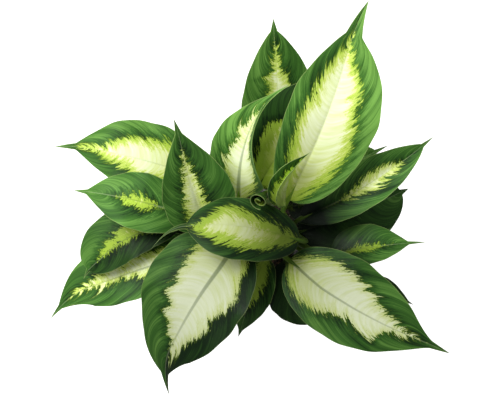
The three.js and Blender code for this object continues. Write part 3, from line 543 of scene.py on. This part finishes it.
class LeafShape:
    """Midrib and middle surface of one blade, as in the part's source. Lengths are in millimetres."""

    def __init__(self, leaf):
        self.leaf = leaf
        self.base = np.array(leaf["base"], float)
        self.span = np.array(leaf["tip"], float) - self.base
        self.right = unit(np.cross(self.span, UP))
        self.length = float(np.linalg.norm(self.span))

    def midrib(self, t):
        t = np.asarray(t, float)[..., None]
        bulge = 4 * t * (1 - t)
        start = BLADE["hook_start"]
        bend = np.maximum(0, (t - start) / (1 - start)) ** 2
        hook = np.array(self.leaf.get("hook", (0, 0, 0)), float)
        lift = UP * self.leaf.get("arch", 0) + self.right * self.leaf.get("bow", 0)
        return self.base + self.span * t + lift * bulge + hook * bend

    def frame(self, t):
        """Directions along the midrib, to the right of it and out of the upper face."""
        step = 0.005
        along = unit(self.midrib(t + step) - self.midrib(t - step))
        side = unit(self.right - along * (along @ self.right)[..., None])
        return along, side, np.cross(side, along)

    def half_width(self, t, v):
        """Distance from the midrib to the margin on the side of v, slightly uneven along it."""
        half = (v >= 0).astype(int)
        halves = np.array(self.leaf.get("halves", (1, 1)))
        turn = self.length + UNEVEN["shift"] * half
        waves = sum(np.sin(count * t + (k + 1) * turn) for k, count in enumerate(UNEVEN["waves"]))
        uneven = 1 + UNEVEN["share"] * np.sin(np.pi * t) * waves
        return self.leaf["width"] / 2 * halves[half] * width_share(t, self.leaf) * uneven

    def surface(self, t, v):
        """Points, normals and distances from the midrib at length shares t and width shares v (-1 to 1)."""
        leaf = self.leaf
        along, side, face = self.frame(t)
        half = (v >= 0).astype(int)
        sign = np.where(v < 0, -1.0, 1.0)
        share = np.abs(v) * width_share(t, leaf)
        reach = np.abs(v) * self.half_width(t, v)
        cupping = np.maximum(0, 1 - t / leaf.get("cup_end", BLADE["cup_end"])) ** 2
        left, right = (np.radians(leaf["fold"][k] + leaf.get("cup", (0, 0))[k] * cupping) for k in (0, 1))
        fold = np.where(v < 0, left, right)
        slope = fold + np.radians(np.array(leaf["curl"])[half]) * share
        middle = (fold + slope) / 2
        height, count, phase = leaf["wave"]
        ripple = height * v * v * np.sin(np.pi * t) * np.sin(
            2 * np.pi * (count * t + phase + BLADE["wave_lag"] * half))
        back = BLADE["lobe"] * reach * np.maximum(0, 1 - t / BLADE["lobe_end"]) ** 2
        point = (self.midrib(t)
                 + side * (sign * reach * np.cos(middle))[..., None]
                 + face * (reach * np.sin(middle) + ripple)[..., None]
                 - along * back[..., None])
        tilt = mix((right - left) / 2, sign * slope, np.minimum(1, np.abs(v) / BLADE["crease"]))
        normal = face * np.cos(tilt)[..., None] - side * np.sin(tilt)[..., None]
        return point, normal, sign * reach


def in_scene(name, data):
    """New object with the given mesh, light or camera."""
    thing = bpy.data.objects.new(name, data)
    bpy.context.scene.collection.objects.link(thing)
    return thing


class Piece:
    """Vertices, faces and named values of one mesh in the making."""

    def __init__(self, *names):
        self.points = []
        self.faces = []
        self.values = {name: [] for name in names}

    def add(self, points, faces, **values):
        """Adds a block of vertices and faces; a value is one for all or one for each vertex."""
        start = sum(len(block) for block in self.points)
        self.points.append(points)
        self.faces += [[index + start for index in face] for face in faces]
        for name, blocks in self.values.items():
            shape = (len(points), 3) if name in VECTOR_VALUES else (len(points),)
            blocks.append(np.broadcast_to(np.asarray(values.get(name, 0.0), float), shape))

    def mesh(self, name):
        """Welded mesh in metres, with the named values as its attributes."""
        mesh = bpy.data.meshes.new(name)
        mesh.from_pydata((np.concatenate(self.points) * MM).tolist(), [], self.faces)
        for key, blocks in self.values.items():
            kind, field = ("FLOAT_VECTOR", "vector") if key in VECTOR_VALUES else ("FLOAT", "value")
            data = mesh.attributes.new(key, kind, "POINT").data
            data.foreach_set(field, np.concatenate(blocks).ravel())
        weld(mesh)
        return mesh

    def build(self, name, material, node, sharp):
        mesh = self.mesh(name)
        mesh.shade_smooth()
        mesh.set_sharp_from_angle(angle=math.radians(sharp))
        mesh.materials.append(material)
        piece = in_scene(name, mesh)
        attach(piece, "root")
        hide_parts(node)
        return piece


def weld(mesh):
    """Merges the vertices that meet at a pointed end or a pole and drops the faces that vanish."""
    bm = bmesh.new()
    bm.from_mesh(mesh)
    bmesh.ops.remove_doubles(bm, verts=bm.verts, dist=1e-7)
    bmesh.ops.recalc_face_normals(bm, faces=bm.faces)
    bm.to_mesh(mesh)
    bm.free()


def grid_faces(rows, columns, start=0, flip=False, ring=False):
    """Quads of a grid of vertices; ring joins the last column to the first."""
    faces = []
    for i in range(rows - 1):
        for j in range(columns if ring else columns - 1):
            k = (j + 1) % columns
            a, b = start + i * columns + j, start + i * columns + k
            quad = [a, b, b + columns, a + columns]
            faces.append(quad[::-1] if flip else quad)
    return faces


def sheet(piece, rows, columns, sides, shared, ends=False, **pairs):
    """Thin sheet: two grids of points joined at their side edges, and at their ends if asked.

    The shared values go to both grids, and a pair holds those of each grid.
    """
    total = rows * columns
    faces = grid_faces(rows, columns, flip=True) + grid_faces(rows, columns, start=total)
    edges = [range(0, total, columns), range(columns - 1, total, columns)]
    if ends:
        edges += [range(columns), range(total - columns, total)]
    for edge in edges:
        faces += [[a, b, total + b, total + a] for a, b in zip(edge, edge[1:])]
    values = {name: np.concatenate([value, value]) for name, value in shared.items()}
    values.update({name: np.concatenate(pair) for name, pair in pairs.items()})
    piece.add(np.concatenate(sides), faces, **values)


def rod(piece, path, radii, sides, start=(1.0, 0.0, 0.0), wide=None, groove=0.0, **values):
    """Closed rod round a path; wide stretches it along the starting side and groove dents its top."""
    wide = np.ones(len(path)) if wide is None else wide
    side = np.asarray(start, float)
    angles = 2 * np.pi * np.arange(sides) / sides
    dent = 1 - groove * np.exp(-((np.sin(angles) - 1) / 0.25) ** 2)
    rings = []
    for i, at in enumerate(path):
        along = unit(path[min(i + 1, len(path) - 1)] - path[max(i - 1, 0)])
        side = unit(side - along * (along @ side))
        ring = (at + np.outer(np.cos(angles) * radii[i] * wide[i], side)
                + np.outer(np.sin(angles) * radii[i] * dent, np.cross(along, side)))
        rings.append(ring)
    last = (len(path) - 1) * sides
    caps = [list(range(sides))[::-1], list(range(last, last + sides))]
    piece.add(np.concatenate(rings), grid_faces(len(path), sides, ring=True) + caps, **values)


def stalk(piece, path, radii, run, spacing, **details):
    """Green stem of a leaf; run is the way along it to each ring and spacing that round a ring, in mm."""
    around = np.tile(np.arange(STALK["sides"]) * spacing, len(path))
    place = joined(np.repeat(run, STALK["sides"]), around, STALK["rim"])
    rod(piece, path, radii, STALK["sides"], place=place, marking=STALK["marking"], stalk=1.0, **details)


def share_grid(rows, columns):
    """Row and column shares of each vertex of a grid."""
    return [grid.ravel() for grid in np.meshgrid(rows, columns, indexing="ij")]


def blade_grid():
    """Length and width shares of a blade's vertices, closer at both ends and at the midrib."""
    even = np.linspace(0, 1, BLADE_GRID["rows"])
    rows = mix(even, (1 - np.cos(np.pi * even)) / 2, BLADE_GRID["ease"])
    ramp = np.linspace(-1, 1, BLADE_GRID["columns"])
    return share_grid(rows, np.sign(ramp) * np.abs(ramp) ** BLADE_GRID["crowd"])


def pale_zone(t, v, pale):
    """How far inside the pale zone a place lies, as a share of the half width; negative outside it."""
    shares, left, right = np.array(pale, float).T
    return np.minimum(v - np.interp(t, shares, left), np.interp(t, shares, right) - v)


def puffs(t, w, vein):
    """Relief between the side veins, fading out at midrib, margin and ends."""
    puff = np.abs(np.sin(np.pi * vein / VEINS["spacing"])) ** VEINS["blunt"] - VEINS["level"]
    off_rib = np.clip(np.abs(w) * 6, 0, 1)
    off_margin = np.clip((1 - np.abs(w)) * 5, 0, 1)
    return puff * off_rib * off_margin * np.sin(np.pi * t) ** 0.5


def blade(piece, leaf, marks, seed):
    """Upper and lower face of a blade, joined at the margin, with midrib and quilted side veins."""
    shape = LeafShape(leaf)
    t, w = blade_grid()
    spine = marks.get("spine", 0) * np.clip(6 * t * (1 - t), 0, 1)
    v = spine + w * (1 - np.sign(w) * spine)
    point, normal, across = shape.surface(t, v)
    half_width = shape.half_width(t, v)
    across = across - spine * half_width
    vein = (t - VEINS["lean"] * np.abs(w) ** VEINS["bend"]) * shape.length + VEINS["right"] * (w > 0)

    size = leaf["width"] / MIDRIB["usual"]
    rib_half = MIDRIB["base"] * (1 - t) * size + MIDRIB["tip"]
    groove = MIDRIB["groove"] * size * (1 - t) * np.exp(-(across / rib_half) ** 2)
    relief = VEINS["relief"] * size * puffs(t, w, vein) - groove
    ridge = np.maximum(0, 1 - t / BLADE["rib_end"]) * np.exp(-(across / (rib_half * MIDRIB["spread"])) ** 2)
    thick = mix(BLADE["thick"], BLADE["edge"], np.abs(w) ** 3) * np.clip(half_width / 3, 0.25, 1)
    upper = point + normal * (thick / 2 + relief)[:, None]
    lower = point - normal * (thick / 2 - relief + BLADE["rib"] * ridge)[:, None]

    zone = pale_zone(t, v, marks["pale"]) * np.maximum(half_width, LEAST_HALF)
    zone = zone - PAST_ZONE * np.maximum(0, t - marks["pale"][-1][0])
    # Left and right half take their own deep green, which also paints shade on a shaded half
    deep = mix(*marks["deep"], np.clip(5 * w + 0.5, 0, 1))
    shared = dict(
        place=joined(vein, across, (1 - np.abs(w)) * half_width),
        tone=joined(deep, marks["yellow"], seed),
        marking=joined(zone, t, marks["rib"]),
        # Painted shade along the blade, from its base through its middle to its tip
        shade=np.interp(t, PAINTED_SHADE_AT, marks["shade"]),
    )
    under = (np.zeros(len(t)), np.ones(len(t)))
    sheet(piece, BLADE_GRID["rows"], BLADE_GRID["columns"], (upper, lower), shared, under=under)


def petiole(piece, leaf, cane, tone, shade):
    """Leaf stalk: leaves the cane steeply from a wide grooved sheath and swings into the midrib."""
    shape = LeafShape(leaf)
    start = mix(np.array(cane["foot"], float), np.array(cane["crown"], float), leaf["share"])
    end = shape.midrib(0.0)
    reach = np.linalg.norm(end - start)
    out = unit((end - start) * (1, 1, 0))
    lean = math.radians(leaf.get("lean", PETIOLE["lean"]))
    leave = UP * math.cos(lean) + out * math.sin(lean)
    arrive, _, _ = shape.frame(0.0)
    knots = [start, start + leave * PETIOLE["leave"] * reach, end - arrive * PETIOLE["arrive"] * reach, end]
    share = np.linspace(0, 1, PETIOLE["rows"])
    rooted = np.array(ROOTED["at"])
    _, _, face = shape.frame(rooted)
    sunk = shape.midrib(rooted) - face * np.array(ROOTED["depth"])[:, None]
    path = np.concatenate([curve(knots, share), sunk])
    radii = np.concatenate([mix(PETIOLE["foot"], PETIOLE["neck"], share),
                            np.array(ROOTED["radius"]) * PETIOLE["neck"]])
    wide = np.concatenate([mix(PETIOLE["sheath"], 1, np.minimum(1, PETIOLE["narrowing"] * share)),
                           np.ones(len(rooted))])
    steps = np.linalg.norm(np.diff(path, axis=0), axis=1)
    run = np.concatenate([[0], np.cumsum(steps)])
    stalk(piece, path, radii, run, PETIOLE["spacing"], start=np.cross(out, UP), wide=wide,
          groove=PETIOLE["groove"], tone=tone, shade=shade)


def leaf_pieces(material):
    for index, (name, leaf) in enumerate(LEAVES.items()):
        marks = MARKINGS[name]
        seed = (index * 0.37) % 1
        # The stalk's tone takes the mean deep green of both halves, painted shade included
        tone = (sum(marks["deep"]) / 2, marks["yellow"], seed)
        piece = Piece(*LEAF_VALUES)
        blade(piece, leaf, marks, seed)
        # Stalks take painted shade a little lighter than their blade's base
        petiole(piece, leaf, CANES[name[0]], tone, marks["shade"][0] * 0.8)
        piece.build(f"{name}_leaf", material, f"leaf_{name}", sharp=60)


def rolled_blade(piece, knots, length):
    """Blade rolled in a spiral, opening upwards to a slanting lip."""
    foot, bend, top = knots
    rows, columns, start = (SPEAR[key] for key in ("rows", "columns", "start"))
    height, share = share_grid(np.linspace(start, 1, rows), np.linspace(0, 1, columns))
    along = unit(curve([bend - foot, top - bend], height))
    side = unit(np.array([1.0, 0, 0]) - along * along[:, :1])
    across = np.cross(along, side)
    angle = 2 * np.pi * SPEAR["turns"] * share + math.radians(SPEAR["tilt"])
    spoke = side * np.cos(angle)[:, None] + across * np.sin(angle)[:, None]
    swell = mix(SPEAR["waist"], 1, ((height - start) / (1 - start)) ** 2)
    radius = (SPEAR["inner"] + SPEAR["pitch"] * SPEAR["turns"] * share) * swell
    slant = SPEAR["lip"] * height ** 3 * (np.cos(angle - SPEAR["lip_turn"]) - 1) / 2
    point = curve(knots, height) + along * slant[:, None] + spoke * radius[:, None]

    around = share * SPEAR_LOOK["width"]
    # The rim carries the painted edge highlight along the top lip and the innermost edge of the roll
    rim = np.minimum(1 - height, share) * SPEAR_LOOK["width"] + SPEAR_LOOK["margin"]
    green = SPEAR_LOOK["green"]
    shared = dict(
        place=joined(height * length + around * SPEAR_LOOK["lean"], around, rim),
        tone=np.tile(SPEAR_LOOK["tone"], (rows * columns, 1)),
        # Painted shade, darkest low in the crown and lighter towards the lip
        shade=np.interp(height, *zip(*SPEAR_LOOK["shade"])),
    )
    marking = (joined(green, height, 0.0), joined(mix(SPEAR_LOOK["cream"], green, share), height, 0.0))
    half = spoke * SPEAR["half"]
    sheet(piece, rows, columns, (point + half, point - half), shared, ends=True, marking=marking)


def spear_piece(material):
    """Young leaf that is still rolled, on its short stem."""
    knots = [np.array(SPEAR[key], float) for key in ("foot", "bend", "top")]
    length = np.linalg.norm(knots[2] - knots[0])
    piece = Piece(*LEAF_VALUES)
    rolled_blade(piece, knots, length)
    reach = np.linspace(0, SPEAR_STEM["radii"][-1][0], SPEAR_STEM["rows"])
    radii = np.interp(reach, *zip(*SPEAR_STEM["radii"]))
    # The stem takes a fixed painted shade
    stalk(piece, curve(knots, reach), radii, reach * length, SPEAR_STEM["spacing"],
          tone=SPEAR_STEM["tone"], shade=SPEAR_STEM["shade"])
    piece.build("b_spear", material, "spear_b", sharp=60)


def cane_pieces(material):
    """Canes with a swelling and a corky ring at each old leaf scar and a rounded crown."""
    for letter, cane in CANES.items():
        foot, crown = np.array(cane["foot"], float), np.array(cane["crown"], float)
        length = np.linalg.norm(crown - foot)
        along = np.arange(0, length + 0.01, CANE_LOOK["row"])
        up = along / length
        nearest = np.round(along / CANE_NODES["spacing"]) * CANE_NODES["spacing"]
        away = np.abs(along - nearest)
        scarred = nearest >= CANE_NODES["spacing"]
        swell = np.where(scarred, CANE_NODES["swell"] * np.maximum(0, 1 - away / CANE_NODES["half"]), 0)
        radii = cane["radius"] * mix(1, CANE_LOOK["taper"], up) + swell
        from_top = np.clip((length - along) / CANE_NODES["crown"], 0, 1)
        radii = radii * mix(CANE_LOOK["top"], 1, np.sqrt(from_top))
        scar = np.where(scarred, np.exp(-(away / CANE_LOOK["scar"]) ** 2), 0)
        sides = CANE_LOOK["sides"]
        piece = Piece("scar", "up")
        rod(piece, foot + (crown - foot) * up[:, None], radii, sides,
            scar=np.repeat(scar, sides), up=np.repeat(up, sides))
        piece.build(f"{letter}_cane", material, f"cane_{letter}", sharp=40)


def pot_radius(z):
    """Radius of the pot's outer face below its band."""
    return mix(POT["base"], POT["rim"] - POT["step"], z / POT["height"])


def ring(radius, z, sides):
    """Points round the upright axis."""
    angles = 2 * np.pi * np.arange(sides) / sides
    return joined(radius * np.cos(angles), radius * np.sin(angles), z)


def rounded(points, radius, steps=5):
    """Profile with each inner corner replaced by a short curve."""
    points = np.array(points, float)
    result = [points[:1]]
    for before, corner, after in zip(points, points[1:], points[2:]):
        ways = [(other - corner, np.linalg.norm(other - corner)) for other in (before, after)]
        start, end = (corner + way / length * min(radius, length * 0.45) for way, length in ways)
        result.append(curve([start, corner, end], np.linspace(0, 1, steps + 1)))
    return np.concatenate(result + [points[-1:]])


def pot_piece(material):
    """Tapered pot with a stepped rim band and drain holes."""
    height, wall, floor, band, step = (POT[key] for key in ("height", "wall", "floor", "band", "step"))
    band_foot = height - band
    profile = rounded([
        (0, 0),
        (POT["base"], 0),
        (pot_radius(band_foot), band_foot),
        (pot_radius(band_foot) + step, band_foot + 1),
        (POT["rim"], height),
        (pot_radius(height) - wall, height),
        (pot_radius(floor) - wall, floor),
        (0, floor),
    ], POT["round"])
    levels = profile[:, 1]
    rim_wear = 1 - np.abs(levels - height) / 2.5
    band_wear = 0.8 - np.abs(levels - band_foot - 1) / 3
    wear = np.maximum(0, np.maximum(rim_wear, band_wear))
    sides = POT["sides"]
    piece = Piece("wear")
    piece.add(np.concatenate([ring(r, z, sides) for r, z in profile]),
              grid_faces(len(profile), sides, ring=True), wear=np.repeat(wear, sides))
    pot = piece.build("tapered_pot", material, "pot", sharp=35)
    cutter = Piece()
    for x, y, _ in ring(DRAIN["ring"], 0, 2 * DRAIN["count"])[1::2]:
        centre = np.array([x, y, 0])
        rod(cutter, [centre - UP, centre + UP * (floor + 1)], [DRAIN["radius"]] * 2, DRAIN["sides"])
    cut_holes(pot, cutter)


def cut_holes(piece, cutter):
    tool = in_scene("cutter", cutter.mesh("cutter"))
    modifier = piece.modifiers.new("holes", "BOOLEAN")
    modifier.object = tool
    modifier.operation = "DIFFERENCE"
    modifier.solver = "EXACT"
    bpy.context.view_layer.update()
    evaluated = piece.evaluated_get(bpy.context.evaluated_depsgraph_get())
    cut = bpy.data.meshes.new_from_object(evaluated)
    piece.modifiers.clear()
    piece.data = cut
    bpy.data.objects.remove(tool)


def crumb(centre, size, seed):
    """Small angular lump as points and faces."""
    bm = bmesh.new()
    bmesh.ops.create_icosphere(bm, subdivisions=1, radius=1)
    rng = random.Random(seed)
    stretch = Vector((rng.uniform(0.6, 1.3), rng.uniform(0.6, 1.3), rng.uniform(0.45, 0.9)))
    turn = rng.uniform(0, math.tau)
    points = []
    for vert in bm.verts:
        lump = 1 + CRUMBS["lump"] * noise.noise(vert.co * CRUMBS["fine"] + Vector((seed * 0.37, 0, 0)))
        at = Vector([c * s for c, s in zip(vert.co, stretch)]) * size * lump
        x = at.x * math.cos(turn) - at.y * math.sin(turn)
        y = at.x * math.sin(turn) + at.y * math.cos(turn)
        points.append((centre[0] + x, centre[1] + y, centre[2] + at.z))
    faces = [[vert.index for vert in face.verts] for face in bm.faces]
    bm.free()
    return np.array(points), faces


def soil_height(x, y):
    """Height of the lumpy top of the soil, level with its given top at the pot's wall."""
    share = math.hypot(x, y) / (pot_radius(SOIL["top"]) - POT["wall"])
    lumps = noise.fractal(Vector((x, y, 0)) * 0.09, 1.0, 2.0, 4) * SOIL["lumps"]
    fine = noise.noise(Vector((x, y, 7)) * 0.6) * SOIL["fine"]
    return SOIL["top"] + SOIL["dome"] * (1 - share * share) + (lumps + fine) * min(1, (1 - share) * 6)


def soil_radius(z):
    return pot_radius(z) - POT["wall"] - SOIL["gap"] / 2


def soil_body():
    """Rings of points from the middle of the soil's base up its side and over its top."""
    bottom = POT["floor"] + SOIL["gap"] / 2
    sides, rings = SOIL["sides"], SOIL["rings"]
    result = [ring(0.001, bottom, sides), ring(soil_radius(bottom), bottom, sides)]
    for k in range(rings):
        points = ring(soil_radius(SOIL["top"]) * (1 - k / rings) ** 0.85, 0, sides)
        points[:, 2] = [soil_height(x, y) for x, y, _ in points]
        result.append(points)
    result.append(ring(0, soil_height(0, 0), sides))
    return result


def soil_piece(material):
    """Soil that fills the pot, with a lumpy top and loose crumbs of bark and grit."""
    piece = Piece("grain")
    rings = soil_body()
    piece.add(np.concatenate(rings), grid_faces(len(rings), SOIL["sides"], ring=True))
    rng = random.Random(11)
    for seed in range(CRUMBS["count"]):
        radius = soil_radius(SOIL["top"]) * 0.97 * math.sqrt(rng.random())
        angle = rng.uniform(0, math.tau)
        x, y = radius * math.cos(angle), radius * math.sin(angle)
        grain = rng.random()
        size = rng.uniform(*CRUMBS["grit" if grain > CRUMBS["grit_from"] else "bark"])
        points, faces = crumb((x, y, soil_height(x, y) + size * CRUMBS["sit"]), size, seed)
        piece.add(points, faces, grain=grain)
    piece.build("potting_soil", material, "soil", sharp=45)


def area_light(name, location, size, power, colour):
    light = bpy.data.lights.new(name, "AREA")
    light.shape = "DISK"
    light.size = size
    light.energy = power
    light.color = colour
    lamp = in_scene(name, light)
    lamp.location = location
    lamp.rotation_euler = (Vector(LIGHT_TARGET) - Vector(location)).to_track_quat("-Z", "Y").to_euler()


def sky():
    """Even, weak sky that is white to the eye."""
    s = Shader(bpy.data.worlds.new("sky"))
    background = s.tree.nodes["Background"].inputs
    seen = s.node("ShaderNodeLightPath").outputs["Is Camera Ray"]
    s.put(background["Color"], WHITE)
    s.put(background["Strength"], s.math("MAXIMUM", seen, SKY))
    return s.owner


def stage():
    """White floor, soft light from the upper left and behind, and an even sky."""
    bm = bmesh.new()
    bmesh.ops.create_grid(bm, x_segments=2, y_segments=2, size=FLOOR["reach"])
    mesh = bpy.data.meshes.new("floor")
    bm.to_mesh(mesh)
    bm.free()
    mesh.materials.append(floor_material())
    floor = in_scene("floor", mesh)
    floor.location.z = -FLOOR["drop"]
    for name, light in LIGHTS.items():
        area_light(name, **light)
    bpy.context.scene.world = sky()
    bpy.context.scene.view_settings.view_transform = "Standard"


def camera():
    """The photograph looks down steeply, from in front."""
    elevation = math.radians(CAMERA["elevation"])
    data = bpy.data.cameras.new("camera")
    data.lens = CAMERA["lens"]
    data.sensor_width = CAMERA["sensor"]
    view = in_scene("camera", data)
    away = Vector((0, -math.cos(elevation), math.sin(elevation))) * CAMERA["distance"]
    view.location = Vector(CAMERA["target"]) + away
    view.rotation_euler = (math.radians(90) - elevation, 0, 0)
    bpy.context.scene.camera = view


camera()
stage()
foliage = leaf_material()
leaf_pieces(foliage)
spear_piece(foliage)
cane_pieces(cane_material())
soil_piece(soil_material())
pot_piece(pot_material())
